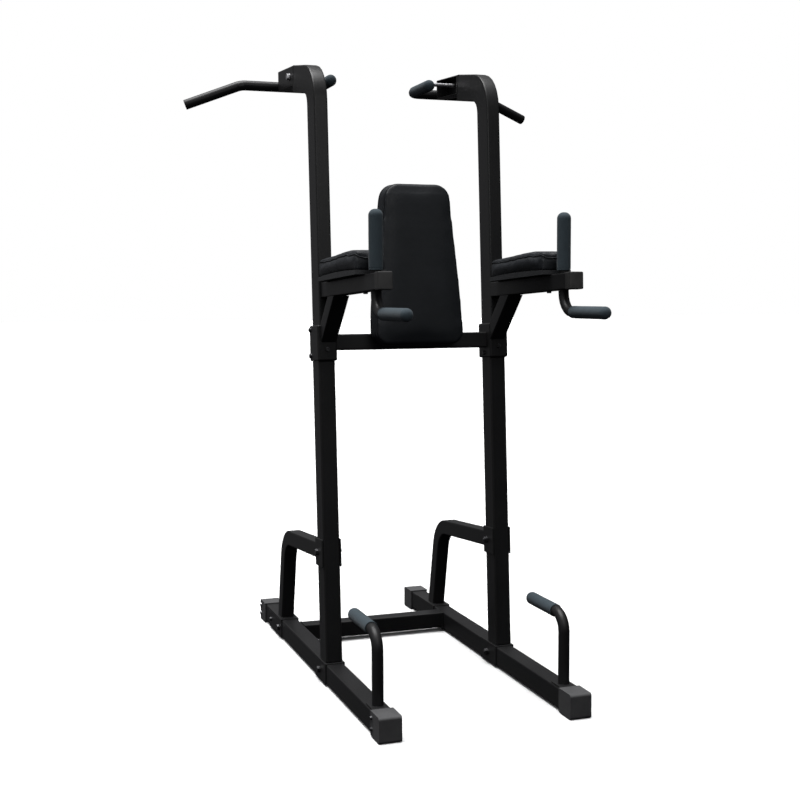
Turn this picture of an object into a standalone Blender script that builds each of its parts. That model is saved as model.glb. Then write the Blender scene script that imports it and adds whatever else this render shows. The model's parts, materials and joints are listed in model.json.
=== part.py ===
"""Power tower: a free-standing frame for pull-ups, dips, knee raises and push-ups.

Metres, +Z up. The user's dip side faces -Y and the pull-up side faces +Y. X = 0 is the plane of symmetry,
Z = 0 the floor, and the origin is the middle of the tower's footprint.
"""

import math

import bmesh
import bpy
from mathutils import Matrix, Vector

# Overall layout
TOWER_SPACING = 0.620       # between the centre planes of the two uprights
BAR_SPAN = 1.337            # between the outer ends of the pull-up bars
BAR_HEIGHT = 2.072          # axis of the pull-up bars
BAR_Y = 0.518
LEAN = math.radians(3.3)    # the uprights lean towards the pull-up side

# Clearances
GAP = 0.0003                # between pieces that touch
HOLE_PLAY = 0.001           # between a bolt or a tube and its hole, on the diameter
JOIN_OVERLAP = 0.0002       # of solids that are united

# Base
RAIL_W = 0.062
RAIL_H = 0.068
RAIL_FRONT = -0.664
RAIL_REAR = 0.859
FOOT_LENGTH = 0.083
FOOT_WALL = 0.005
FOOT_SOLE = 0.007
FOOT_END = 0.011            # rubber beyond the end of the rail
FOOT_ROUND = 0.007          # along its side edges
FOOT_TOE_R = 0.009          # where its end turns into its top and its underside
FOOT_HEEL = 0.028           # length of the sloped underside at the inner end
FOOT_HEEL_RISE = 0.0045
FOOT_HEEL_R = 0.040
FOOT_EDGE_R = 0.0015        # at the open end
CROSSBAR_SIDE = 0.060
CROSSBAR_Y = 0.455
FLANGE = 0.005
FLANGE_OVER = 0.004         # beyond the crossbar, in front of it and behind
FLANGE_HOLE = 0.028

# Saddles over the rails
SADDLE_PLATE = 0.0035
SADDLE_SKIRT = 0.006        # from the floor to the lower edge of a saddle
UPRIGHT_SADDLE_FRONT = 0.046
UPRIGHT_SADDLE_REAR = 0.091
BRACE_SADDLE_FRONT = 0.066
BRACE_SADDLE_REAR = 0.130

# Uprights
UPRIGHT_Y = -0.0486         # axis where it meets the saddle
LOWER_W = 0.058
LOWER_D = 0.078
UPPER_W = 0.048
UPPER_D = 0.094
TUBE_WALL = 0.002
TUBE_CORNER = 0.006
JOINT_AT = 1.071            # from the saddle along the upright to the joint's web
JOINT_HALF = 0.060
JOINT_WALL = 0.0045
JOINT_WEB = 0.006
TOP_CORNER_AT = 1.953       # along the upright to the corner of its bend
TOP_BEND_R = 0.095
TOP_RISE = math.radians(9.0)
TOP_LENGTH = 0.222

# Rear brace
BRACE_W = 0.050
BRACE_D = 0.056
BRACE_AT = 0.366            # along the upright to the brace's axis
BRACE_DROP = math.radians(4.6)
BRACE_CORNER_Y = 0.512
BRACE_FOOT_Y = 0.590
BRACE_BEND_R = 0.110
BRACE_OVERLAP = 0.020       # more tube than its two mitres cut off
YOKE_HALF = 0.047
YOKE_WALL = 0.005

# Push-up handles
PUSH_TUBE_D = 0.036
PUSH_Y = -0.555
PUSH_HEIGHT = 0.300
PUSH_BEND_R = 0.055
PUSH_END_Y = -0.312
PUSH_FOAM_D = 0.0425
PUSH_PLATE = 0.004
PUSH_PLATE_HALF = 0.034
PUSH_PLATE_EDGE = 0.003     # from the plate to the side of the rail

# Mid crossbar and back pad
MID_BAR_H = 0.054
MID_BAR_D = 0.050
MID_BAR_OVER_JOINT = 0.002
PAD_BELOW_BAR = 0.017       # from the crossbar's axis to the pad's lower edge
PAD_HEIGHT = 0.544
PAD_HALF_BOTTOM = 0.157
PAD_HALF_TOP = 0.116
PAD_BOTTOM_R = 0.042
PAD_TOP_R = 0.052
PAD_THICK = 0.070
PAD_ROUND = 0.012
PAD_BOARD = 0.012
PAD_BOARD_INSET = 0.016
PAD_STRAP = 0.005
PAD_STRAP_W = 0.110
PAD_STRAP_SHORT = 0.090     # from the strap's top to the pad's top

# Arms
ARM_INSET = 0.005           # from the upright's centre plane towards the middle
ARM_W = 0.042
ARM_H = 0.050
ARM_CORNER = 0.004
ARM_RISE = math.radians(2.3)
ARM_OVER_JOINT = 0.178      # from the joint's web to the arm's axis, where it meets the upright
ARM_FRONT_Y = -0.600
CAP_LENGTH = 0.038
CAP_LIP = 0.0015
CAP_PLUG = 0.018
CAP_PLUG_PLAY = 0.002
CAP_GROOVES = (0.28, 0.55, 0.82)    # shares of the cap's length
CAP_GROOVE_W = 0.0018
CAP_GROOVE_DEEP = 0.0012
STRUT_D = 0.052
STRUT_W = 0.054
STRUT_TOP_Y = -0.150
STRUT_SLOPE = math.radians(45.0)
STRUT_OVERLAP = 0.060
STRUT_LENGTH = 0.300        # before its mitres

# Elbow pads
ELBOW_REAR_Y = -0.087
ELBOW_FRONT_Y = -0.500
ELBOW_W = 0.093
ELBOW_BOARD = 0.013
ELBOW_BOARD_OVER = 0.002    # beyond the pad all round
ELBOW_ARCH = 0.005          # how much thicker the board is in its middle
ELBOW_EDGE = 0.056          # height of the rear end above the board's ends
ELBOW_HUMP = 0.006          # more height at the hump
ELBOW_HUMP_AT = 0.70        # share of the length from the rear end
ELBOW_FALL = 1.10           # share of the hump that is lost again at the front end
ELBOW_ROUND = 0.008
ELBOW_STEPS = 12

# Handle tubes
HANDLE_TUBE_D = 0.032
HANDLE_Y = -0.548
HANDLE_BEND_R = 0.062
DIP_BELOW_ARM = 0.072
DIP_END_Y = -0.832
DIP_FOAM_D = 0.0385
GRIP_OVER_ARM = 0.234
GRIP_FOAM_D = 0.0435
GRIP_ABOVE_ARM = 0.010
ROUND_WALL = 0.002
FOAM_RIM = 0.0012           # less than the thinnest sleeve
FOAM_DOME = 0.75            # of the sleeve's radius
FOAM_END = 0.008            # thickness of its closed end
TUBE_SHORT = 0.010          # from a tube's end to the outside of its grip
BEND_CLEAR = 0.004          # from a bend to a grip

# Pull-up bars
BAR_D = 0.036
BAR_BEND_OUT = 0.160        # from the upright's centre plane
BAR_BEND_R = 0.090
BAR_END_DROP = 0.074
BAR_END_BACK = 0.038
INNER_GRIP_IN = 0.123       # from the upright's centre plane
INNER_GRIP_FRONT_Y = 0.302
INNER_BEND_R = 0.034
INNER_FOAM_D = 0.0415
BRACKET_W = 0.050
BRACKET_H = 0.070
BRACKET_WALL = 0.004
BRACKET_FLANGE = 0.006
BRACKET_RISE = math.radians(3.5)
BOLT_D = 0.012
BOLT_HEAD = BOLT_D * 0.6
BOLT_NUT = BOLT_D * 0.8
BOLT_HEX_D = BOLT_D * 1.9    # across the corners
BOLT_WASHER_D = BOLT_D * 2.1
BOLT_END = 0.003            # of the bolt past its nut
SADDLE_BOLT_BACK = 0.028    # behind the upright's foot
YOKE_BOLT_BACK = 0.014      # behind the upright's axis
WASHER = 0.002
TIE_D = 0.014
TIE_Y = 0.336
TIE_Z = 2.079

RAIL_BOTTOM = FOOT_SOLE
RAIL_TOP = RAIL_BOTTOM + RAIL_H
TOWER_X = TOWER_SPACING / 2
SADDLE_TOP = RAIL_TOP + GAP + SADDLE_PLATE
MID_BAR_AT = JOINT_AT + MID_BAR_OVER_JOINT
PAD_BOTTOM_AT = MID_BAR_AT - PAD_BELOW_BAR
PAD_TOP_AT = PAD_BOTTOM_AT + PAD_HEIGHT
ARM_X = TOWER_X - ARM_INSET
ARM_AXIS_Z = SADDLE_TOP + JOINT_AT * math.cos(LEAN) + ARM_OVER_JOINT
DIP_HEIGHT = ARM_AXIS_Z - DIP_BELOW_ARM
GRIP_TOP_Z = ARM_AXIS_Z + GRIP_OVER_ARM
BAR_BEND_X = TOWER_X + BAR_BEND_OUT
INNER_GRIP_X = TOWER_X - INNER_GRIP_IN
ARC_STEPS = 6               # straight pieces in each bend
ROUND_SIDES = 24
FAR = 0.2                   # how far a cutter reaches past what it cuts

STEEL = ((0.020, 0.020, 0.021), 0.42, 0.0)
RUBBER = ((0.060, 0.060, 0.062), 0.80, 0.0)
FOAM = ((0.030, 0.034, 0.037), 0.90, 0.0)
VINYL = ((0.022, 0.023, 0.026), 0.50, 0.0)
BOARD = ((0.030, 0.030, 0.032), 0.60, 0.0)
ZINC = ((0.620, 0.620, 0.630), 0.35, 1.0)
PLASTIC = ((0.035, 0.035, 0.036), 0.55, 0.0)


def clear_scene():
    for obj in list(bpy.data.objects):
        bpy.data.objects.remove(obj, do_unlink=True)


def new_collection(name):
    collection = bpy.data.collections.new(name)
    bpy.context.scene.collection.children.link(collection)
    return collection


clear_scene()
PARTS = new_collection("power_tower")
CUTTERS = new_collection("cutters")
CUTTERS.hide_render = True


def material(name, look):
    colour, roughness, metallic = look
    made = bpy.data.materials.new(name + "_material")
    made.use_nodes = True
    shader = made.node_tree.nodes["Principled BSDF"]
    shader.inputs["Base Color"].default_value = (*colour, 1.0)
    shader.inputs["Roughness"].default_value = roughness
    shader.inputs["Metallic"].default_value = metallic
    return made


def as_part(obj, name, look):
    """Names an object, gives it its own material and puts it among the parts."""
    obj.name = name
    obj.data.name = name
    obj.data.materials.clear()
    obj.data.materials.append(material(name, look))
    move_to(obj, PARTS)
    return obj


def move_to(obj, collection):
    for held in list(obj.users_collection):
        held.objects.unlink(obj)
    collection.objects.link(obj)


def as_cutter(obj):
    obj.hide_render = True
    obj.display_type = "WIRE"
    move_to(obj, CUTTERS)
    return obj


def mesh_object(name, bm):
    """A new object from a bmesh, whose faces are turned outwards."""
    bmesh.ops.recalc_face_normals(bm, faces=bm.faces)
    mesh = bpy.data.meshes.new(name)
    bm.to_mesh(mesh)
    bm.free()
    obj = bpy.data.objects.new(name, mesh)
    PARTS.objects.link(obj)
    return obj


def box(name, low, high):
    """A box between two corners, in its own object at the origin."""
    bm = bmesh.new()
    low, high = Vector(low), Vector(high)
    size = high - low
    middle = (high + low) / 2
    place = Matrix.Translation(middle) @ Matrix.Diagonal((*size, 1.0))
    bmesh.ops.create_cube(bm, size=1.0, matrix=place)
    return mesh_object(name, bm)


def rod(name, start, end, diameter, sides=12):
    """A solid cylinder, or a hexagonal prism with sides=6, between two points."""
    start, end = Vector(start), Vector(end)
    along = end - start
    turn = along.to_track_quat("Z", "Y").to_matrix().to_4x4()
    place = Matrix.Translation((start + end) / 2) @ turn
    bm = bmesh.new()
    bmesh.ops.create_cone(
        bm, cap_ends=True, segments=sides, radius1=diameter / 2, radius2=diameter / 2,
        depth=along.length, matrix=place,
    )
    return mesh_object(name, bm)


def bevel(obj, width, segments=2, angle=40.0):
    modifier = obj.modifiers.new("Bevel", "BEVEL")
    modifier.width = width
    modifier.segments = segments
    modifier.limit_method = "ANGLE"
    modifier.angle_limit = math.radians(angle)
    modifier.use_clamp_overlap = True


def boolean(obj, other, operation="DIFFERENCE"):
    modifier = obj.modifiers.new(operation.title(), "BOOLEAN")
    modifier.operation = operation
    modifier.solver = "EXACT"
    modifier.object = other


def cut(obj, cutter):
    boolean(obj, as_cutter(cutter))


def carve(obj, tool):
    """Cuts an object for good, and removes the tool."""
    boolean(obj, tool)
    settle(obj)
    bpy.data.objects.remove(tool, do_unlink=True)


def join(obj, others):
    """Unites other solids with an object and removes them."""
    for other in others:
        boolean(obj, other, "UNION")
    settle(obj)
    for other in others:
        bpy.data.objects.remove(other, do_unlink=True)


def settle(obj):
    """Replaces an object by its evaluated mesh."""
    bpy.context.view_layer.update()
    graph = bpy.context.evaluated_depsgraph_get()
    mesh = bpy.data.meshes.new_from_object(obj.evaluated_get(graph))
    obj.modifiers.clear()
    obj.data = mesh


def filleted(points, radius):
    """The points of a path with an arc at each inner corner. A tuple gives each corner its own radius."""
    path = [Vector(points[0])]
    radii = radius if isinstance(radius, tuple) else [radius] * (len(points) - 2)
    for before, corner, after, r in zip(points, points[1:], points[2:], radii):
        corner = Vector(corner)
        back = (Vector(before) - corner).normalized()
        ahead = (Vector(after) - corner).normalized()
        half = back.angle(ahead) / 2
        centre = corner + (back + ahead).normalized() * (r / math.sin(half))
        first = corner + back * (r / math.tan(half)) - centre
        last = corner + ahead * (r / math.tan(half)) - centre
        for step in range(ARC_STEPS + 1):
            spoke = first.slerp(last, step / ARC_STEPS)
            path.append(centre + spoke.normalized() * r)
    path.append(Vector(points[-1]))
    return path


def rounded_polygon(corners, radii):
    """The points of a closed outline with each corner replaced by an arc."""
    outline = []
    for index, corner in enumerate(corners):
        before, after = corners[index - 1], corners[(index + 1) % len(corners)]
        arc = filleted([(*before, 0), (*corner, 0), (*after, 0)], radii[index])
        outline += arc[1:-1]
    return outline


def spline_object(name, points, dimensions="3D", cyclic=False):
    curve = bpy.data.curves.new(name, "CURVE")
    curve.dimensions = dimensions
    spline = curve.splines.new("POLY")
    spline.points.add(len(points) - 1)
    for slot, point in zip(spline.points, points):
        slot.co = (*point, 1.0)
    spline.use_cyclic_u = cyclic
    obj = bpy.data.objects.new(name, curve)
    PARTS.objects.link(obj)
    return obj


def face_outwards(obj):
    bm = bmesh.new()
    bm.from_mesh(obj.data)
    bmesh.ops.remove_doubles(bm, verts=bm.verts, dist=1e-6)
    bmesh.ops.recalc_face_normals(bm, faces=bm.faces)
    bm.to_mesh(obj.data)
    bm.free()


def curve_to_mesh(obj, name):
    """A mesh object in place of a curve, with its loose caps welded."""
    bpy.context.view_layer.update()
    graph = bpy.context.evaluated_depsgraph_get()
    mesh = bpy.data.meshes.new_from_object(obj.evaluated_get(graph))
    made = bpy.data.objects.new(name, mesh)
    made.matrix_world = obj.matrix_world
    PARTS.objects.link(made)
    bpy.data.objects.remove(obj, do_unlink=True)
    face_outwards(made)
    return made


def round_tube(name, points, diameter, wall):
    """An open-ended round tube along a path."""
    obj = spline_object(name, points)
    obj.data.bevel_depth = diameter / 2
    obj.data.bevel_resolution = ROUND_SIDES // 4 - 1
    made = curve_to_mesh(obj, name)
    thicken(made, wall)
    return made


def thicken(obj, wall):
    modifier = obj.modifiers.new("Wall", "SOLIDIFY")
    modifier.thickness = wall
    modifier.offset = -1.0
    modifier.use_even_offset = True


def rounded_rectangle(width, depth, radius, steps=2):
    """The outline of a rectangle with round corners, around the origin."""
    outline = []
    for quarter in range(4):
        across = 1 if quarter in (0, 3) else -1
        up = 1 if quarter in (0, 1) else -1
        centre = Vector((across * (width / 2 - radius), up * (depth / 2 - radius), 0))
        for step in range(steps + 1):
            angle = math.pi / 2 * (quarter + step / steps)
            outline.append(centre + radius * Vector((math.cos(angle), math.sin(angle), 0)))
    return outline


def box_tube(name, points, width, depth, wall, corner=TUBE_CORNER):
    """An open-ended rectangular tube along a path of (y, z). Its width is across that plane."""
    profile = spline_object(name + "_profile", rounded_rectangle(depth, width, corner), "2D", True)
    profile.data.fill_mode = "NONE"
    path = spline_object(name + "_path", [(y, z, 0.0) for y, z in points], "2D")
    path.data.fill_mode = "NONE"
    path.data.bevel_mode = "OBJECT"
    path.data.bevel_object = profile
    made = curve_to_mesh(path, name)
    bpy.data.objects.remove(profile, do_unlink=True)
    made.data.transform(Matrix(((0, 0, 1, 0), (1, 0, 0, 0), (0, 1, 0, 0), (0, 0, 0, 1))))
    thicken(made, wall)
    return made


def turn_mesh(obj, matrix):
    obj.data.transform(matrix)
    if matrix.determinant() < 0:
        obj.data.flip_normals()


def slab(name, outline, thickness):
    """A flat plate: an outline in the XY plane, from z = 0 up to its thickness."""
    obj = spline_object(name, outline, "2D", True)
    obj.data.fill_mode = "BOTH"
    obj.data.extrude = thickness / 2
    made = curve_to_mesh(obj, name)
    made.data.transform(Matrix.Translation((0, 0, thickness / 2)))
    return made


def side_slab(name, outline, width):
    """A solid with an outline in the YZ plane, as wide to either side of X = 0."""
    solid = slab(name, outline, width)
    turn_mesh(solid, Matrix(((0, 0, 1, -width / 2), (1, 0, 0, 0), (0, 1, 0, 0), (0, 0, 0, 1))))
    return solid


def apply_place(obj, matrix):
    settle(obj)
    turn_mesh(obj, matrix)


# The upright's own frame: Z runs up along the leaning upright from the top of its saddle.
UPRIGHT_FRAME = Matrix.Translation((0, UPRIGHT_Y, SADDLE_TOP + GAP)) @ Matrix.Rotation(-LEAN, 4, "X")


def upright_point(v, u):
    """World (y, z) of a point v behind the upright's axis and u along it."""
    point = UPRIGHT_FRAME @ Vector((0, v, u))
    return point.y, point.z


# The arm's own frame: its axis at the upright, with -Y along the rising arm.
ARM_REAR_Y = upright_point(-UPPER_D / 2 - GAP, (ARM_AXIS_Z - SADDLE_TOP) / math.cos(LEAN))[0]
ARM_FRAME = Matrix.Translation((0, ARM_REAR_Y, ARM_AXIS_Z)) @ Matrix.Rotation(-ARM_RISE, 4, "X")


def tower(side):
    """The upright's own frame on one side."""
    return Matrix.Translation((side * TOWER_X, 0, 0)) @ UPRIGHT_FRAME


def arm(side):
    """The arm's own frame on one side."""
    return Matrix.Translation((side * ARM_X, 0, 0)) @ ARM_FRAME


def side_name(side):
    return "left" if side < 0 else "right"


def hex_bolt(name, x_head, x_nut, y, z):
    """A hexagon bolt along X with washers under its head and nut."""
    way = 1 if x_nut > x_head else -1
    parts = []
    for x, out, thick in ((x_head, -way, BOLT_HEAD), (x_nut, way, BOLT_NUT)):
        under = x + out * (WASHER - JOIN_OVERLAP)
        parts.append(rod("washer", (x, y, z), (x + out * WASHER, y, z), BOLT_WASHER_D))
        parts.append(rod("hexagon", (under, y, z), (x + out * (WASHER + thick), y, z), BOLT_HEX_D, 6))
    end = x_nut + way * (WASHER + BOLT_NUT + BOLT_END)
    bolt = rod(name, (x_head - way * WASHER / 2, y, z), (end, y, z), BOLT_D)
    join(bolt, parts)
    return as_part(bolt, name, ZINC)


def drill_x(pieces, x0, x1, y, z, diameter):
    """The same round hole along X through several pieces."""
    hole = as_cutter(rod("hole", (x0, y, z), (x1, y, z), diameter + HOLE_PLAY))
    for piece in pieces:
        boolean(piece, hole)


def base_rail(side):
    name = "base_rail_" + side_name(side)
    axis = RAIL_BOTTOM + RAIL_H / 2
    rail = box_tube(name, [(RAIL_FRONT, axis), (RAIL_REAR, axis)], RAIL_W, RAIL_H, TUBE_WALL)
    apply_place(rail, Matrix.Translation((side * TOWER_X, 0, 0)))
    return as_part(rail, name, STEEL)


def foot(side, which):
    """A rubber boot with a pocket for the end of the rail, whose underside rises at the inner end."""
    name = f"foot_{which}_{side_name(side)}"
    way = -1 if which == "front" else 1
    end = RAIL_FRONT if which == "front" else RAIL_REAR
    outer = end + way * FOOT_END
    inner = outer - way * FOOT_LENGTH
    top = RAIL_TOP + FOOT_WALL
    corners = [
        (inner, FOOT_HEEL_RISE),
        (inner + way * FOOT_HEEL, 0.0),
        (outer, 0.0),
        (outer, top),
        (inner, top),
    ]
    outline = rounded_polygon(corners, (FOOT_EDGE_R, FOOT_HEEL_R, FOOT_TOE_R, FOOT_TOE_R, FOOT_EDGE_R))
    boot = side_slab(name, outline, RAIL_W + 2 * FOOT_WALL)
    bevel(boot, FOOT_ROUND, 3)
    apply_place(boot, Matrix.Translation((side * TOWER_X, 0, 0)))
    pocket_end, pocket_out = end + way * GAP, inner - way * FAR
    x, fit = side * TOWER_X, RAIL_W / 2 + GAP
    cut(boot, box(
        name + "_pocket",
        (x - fit, min(pocket_end, pocket_out), RAIL_BOTTOM - GAP),
        (x + fit, max(pocket_end, pocket_out), RAIL_TOP + GAP),
    ))
    return as_part(boot, name, RUBBER)


def base_crossbar():
    """The crossbar between the rails, with a flange at each end."""
    half = TOWER_X - RAIL_W / 2 - GAP
    axis = RAIL_TOP - CROSSBAR_SIDE / 2
    reach = half - FLANGE / 2
    bar = box_tube("base_crossbar", [(-reach, axis), (reach, axis)], CROSSBAR_SIDE, CROSSBAR_SIDE, TUBE_WALL)
    apply_place(bar, Matrix.Translation((0, CROSSBAR_Y, 0)) @ Matrix.Rotation(math.pi / 2, 4, "Z"))
    out = CROSSBAR_SIDE / 2 + FLANGE_OVER
    bottom = RAIL_BOTTOM + FLANGE_OVER / 2
    join(bar, [
        box("flange", (low, CROSSBAR_Y - out, bottom), (low + FLANGE, CROSSBAR_Y + out, RAIL_TOP))
        for low in (-half, half - FLANGE)
    ])
    cut(bar, rod("drain", (-half - FAR, CROSSBAR_Y, axis), (half + FAR, CROSSBAR_Y, axis), FLANGE_HOLE))
    return as_part(bar, "base_crossbar", STEEL)


def saddle(name, side, front, rear):
    """An inverted U of plate over the rail."""
    x = side * TOWER_X
    inner = RAIL_W / 2 + GAP
    outer = inner + SADDLE_PLATE
    shape = box(name, (x - outer, front, SADDLE_SKIRT), (x + outer, rear, SADDLE_TOP))
    bevel(shape, SADDLE_PLATE * 0.7, 2)
    cut(shape, box(name + "_slot", (x - inner, front - FAR, -FAR), (x + inner, rear + FAR, RAIL_TOP + GAP)))
    return as_part(shape, name, STEEL)


def lower_upright(side):
    name = "lower_upright_" + side_name(side)
    top = JOINT_AT - JOINT_WEB / 2 - GAP
    post = box_tube(name, [(0, 0), (0, top)], LOWER_W, LOWER_D, TUBE_WALL)
    apply_place(post, tower(side))
    x = side * TOWER_X
    cut(post, box(name + "_mitre", (x - FAR, -FAR, -FAR), (x + FAR, FAR, SADDLE_TOP + GAP)))
    return as_part(post, name, STEEL)


def upright_joint(side):
    """A sleeve with a web across its middle: the lower upright ends below the web and the upper one above."""
    name = "upright_joint_" + side_name(side)
    half_w = LOWER_W / 2 + GAP + JOINT_WALL
    half_d = UPPER_D / 2 + GAP + JOINT_WALL
    sleeve = box(name, (-half_w, -half_d, JOINT_AT - JOINT_HALF), (half_w, half_d, JOINT_AT + JOINT_HALF))
    bevel(sleeve, TUBE_CORNER, 3)
    settle(sleeve)
    for w, d, low, high in (
        (LOWER_W, LOWER_D, JOINT_AT - 2 * JOINT_HALF, JOINT_AT - JOINT_WEB / 2),
        (UPPER_W, UPPER_D, JOINT_AT + JOINT_WEB / 2, JOINT_AT + 2 * JOINT_HALF),
    ):
        fit_w, fit_d = w / 2 + GAP, d / 2 + GAP
        carve(sleeve, box("pocket", (-fit_w, -fit_d, low), (fit_w, fit_d, high)))
    apply_place(sleeve, tower(side))
    return as_part(sleeve, name, STEEL)


def top_end():
    """The middle of the upper upright's end, in the upright's frame, and its direction there."""
    tilt = TOP_RISE + LEAN
    way = Vector((math.cos(tilt), math.sin(tilt)))
    return Vector((0, TOP_CORNER_AT)) + way * TOP_LENGTH, way


def upper_upright(side):
    name = "upper_upright_" + side_name(side)
    end, _ = top_end()
    corners = [(0, JOINT_AT + JOINT_WEB / 2 + GAP, 0), (0, TOP_CORNER_AT, 0), (end.x, end.y, 0)]
    path = [(p.x, p.y) for p in filleted(corners, TOP_BEND_R)]
    post = box_tube(name, path, UPPER_W, UPPER_D, TUBE_WALL)
    apply_place(post, tower(side))
    return as_part(post, name, STEEL)


def rear_brace(side):
    """A bent tube from the yoke on the upright, down to the saddle on the rail."""
    name = "rear_brace_" + side_name(side)
    start_y, start_z = upright_point(LOWER_D / 2 + YOKE_WALL, BRACE_AT)
    corner_z = start_z - (BRACE_CORNER_Y - start_y) * math.tan(BRACE_DROP)
    corners = [
        (start_y - BRACE_OVERLAP, start_z + BRACE_OVERLAP * math.tan(BRACE_DROP), 0),
        (BRACE_CORNER_Y, corner_z, 0),
        (BRACE_FOOT_Y, RAIL_TOP - BRACE_OVERLAP, 0),
    ]
    path = [(p.x, p.y) for p in filleted(corners, BRACE_BEND_R)]
    tube = box_tube(name, path, BRACE_W, BRACE_D, TUBE_WALL)
    x = side * TOWER_X
    apply_place(tube, Matrix.Translation((x, 0, 0)))
    foot_y = BRACE_FOOT_Y
    cut(tube, box("foot_mitre", (x - FAR, foot_y - FAR, -FAR), (x + FAR, foot_y + FAR, SADDLE_TOP + GAP)))
    reach = LOWER_D / 2 + 2 * GAP + YOKE_WALL
    mitre = box("yoke_mitre", (-FAR, reach - FAR, BRACE_AT - FAR), (FAR, reach, BRACE_AT + FAR))
    apply_place(mitre, tower(side))
    cut(tube, mitre)
    return as_part(tube, name, STEEL)


def brace_yoke(side):
    """A U of plate round the back and the sides of the lower upright."""
    name = "brace_yoke_" + side_name(side)
    inner_w, inner_d = LOWER_W / 2 + GAP, LOWER_D / 2 + GAP
    outer_w, outer_d = inner_w + YOKE_WALL, inner_d + YOKE_WALL
    yoke = box(name, (-outer_w, -LOWER_D / 2, BRACE_AT - YOKE_HALF), (outer_w, outer_d, BRACE_AT + YOKE_HALF))
    bevel(yoke, YOKE_WALL / 2, 2)
    settle(yoke)
    carve(yoke, box("slot", (-inner_w, -FAR, BRACE_AT - FAR), (inner_w, inner_d, BRACE_AT + FAR)))
    apply_place(yoke, tower(side))
    return as_part(yoke, name, STEEL)


def foam_sleeve(name, start, end, outer, inner):
    """A foam grip: a turned sleeve from an open start to a domed and closed end."""
    start, end = Vector(start), Vector(end)
    length = (end - start).length
    radius = outer / 2
    bore = (inner / 2 + GAP) / math.cos(math.pi / ROUND_SIDES)
    dome = radius * FOAM_DOME
    profile = [(0.0, length - FOAM_END), (bore, length - FOAM_END), (bore, 0.0), (radius - FOAM_RIM, 0.0)]
    profile.append((radius, FOAM_RIM))
    steps = 4
    for step in range(steps + 1):
        angle = math.pi / 2 * step / steps
        profile.append((radius - dome + dome * math.cos(angle), length - dome + dome * math.sin(angle)))
    profile.append((0.0, length))
    half_step = Matrix.Rotation(math.pi / ROUND_SIDES, 3, "Z")
    mesh = bpy.data.meshes.new(name)
    line = [half_step @ Vector((x, 0.0, z)) for x, z in profile]
    mesh.from_pydata(line, [(i, i + 1) for i in range(len(line) - 1)], [])
    obj = bpy.data.objects.new(name, mesh)
    PARTS.objects.link(obj)
    screw = obj.modifiers.new("Turn", "SCREW")
    screw.steps = ROUND_SIDES
    screw.render_steps = ROUND_SIDES
    screw.use_merge_vertices = True
    screw.merge_threshold = 0.0001
    screw.use_normal_calculate = True
    turn = (end - start).to_track_quat("Z", "X").to_matrix().to_4x4()
    apply_place(obj, Matrix.Translation(start) @ turn)
    face_outwards(obj)
    return as_part(obj, name, FOAM)


def push_up_handle(side):
    """A bent tube on a plate welded to the rail, and its grip."""
    name = "push_up_handle_" + side_name(side)
    x = side * TOWER_X
    base = RAIL_TOP + GAP
    end = PUSH_END_Y
    corners = [(x, PUSH_Y, base + PUSH_PLATE / 2), (x, PUSH_Y, PUSH_HEIGHT), (x, end, PUSH_HEIGHT)]
    tube = round_tube(name, filleted(corners, PUSH_BEND_R), PUSH_TUBE_D, ROUND_WALL)
    settle(tube)
    half, deep = RAIL_W / 2 - PUSH_PLATE_EDGE, PUSH_PLATE_HALF
    plate = box("plate", (x - half, PUSH_Y - deep, base), (x + half, PUSH_Y + deep, base + PUSH_PLATE))
    bevel(plate, PUSH_PLATE / 4, 1)
    settle(plate)
    join(tube, [plate])
    as_part(tube, name, STEEL)
    foam_sleeve("push_up_grip_" + side_name(side), (x, PUSH_Y + PUSH_BEND_R + BEND_CLEAR, PUSH_HEIGHT),
                (x, end + TUBE_SHORT, PUSH_HEIGHT), PUSH_FOAM_D, PUSH_TUBE_D)


def mid_crossbar():
    half = TOWER_X - LOWER_W / 2 - 2 * GAP - JOINT_WALL
    bar = box_tube("mid_crossbar", [(-half, 0), (half, 0)], MID_BAR_D, MID_BAR_H, TUBE_WALL)
    turn = Matrix.Rotation(math.pi / 2, 4, "Z")
    apply_place(bar, UPRIGHT_FRAME @ Matrix.Translation((0, 0, MID_BAR_AT)) @ turn)
    return as_part(bar, "mid_crossbar", STEEL)


def pad_outline(inset=0.0):
    """The back pad's outline in the plane of the upright's X and Z, with round corners."""
    low, high = PAD_BOTTOM_AT + inset, PAD_TOP_AT - inset
    wide, narrow = PAD_HALF_BOTTOM - inset, PAD_HALF_TOP - inset
    bottom_r, top_r = PAD_BOTTOM_R - inset / 2, PAD_TOP_R - inset / 2
    corners = [(wide, low), (narrow, high), (-narrow, high), (-wide, low)]
    return rounded_polygon(corners, (bottom_r, top_r, top_r, bottom_r))


def pad_plate(name, front, thickness, inset, look):
    """A flat piece of the pad stack, whose front face is that far in front of the upright's axis."""
    plate = slab(name, pad_outline(inset), thickness)
    stand = Matrix(((1, 0, 0, 0), (0, 0, 1, -front), (0, 1, 0, 0), (0, 0, 0, 1)))
    turn_mesh(plate, UPRIGHT_FRAME @ stand)
    return as_part(plate, name, look)


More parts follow.
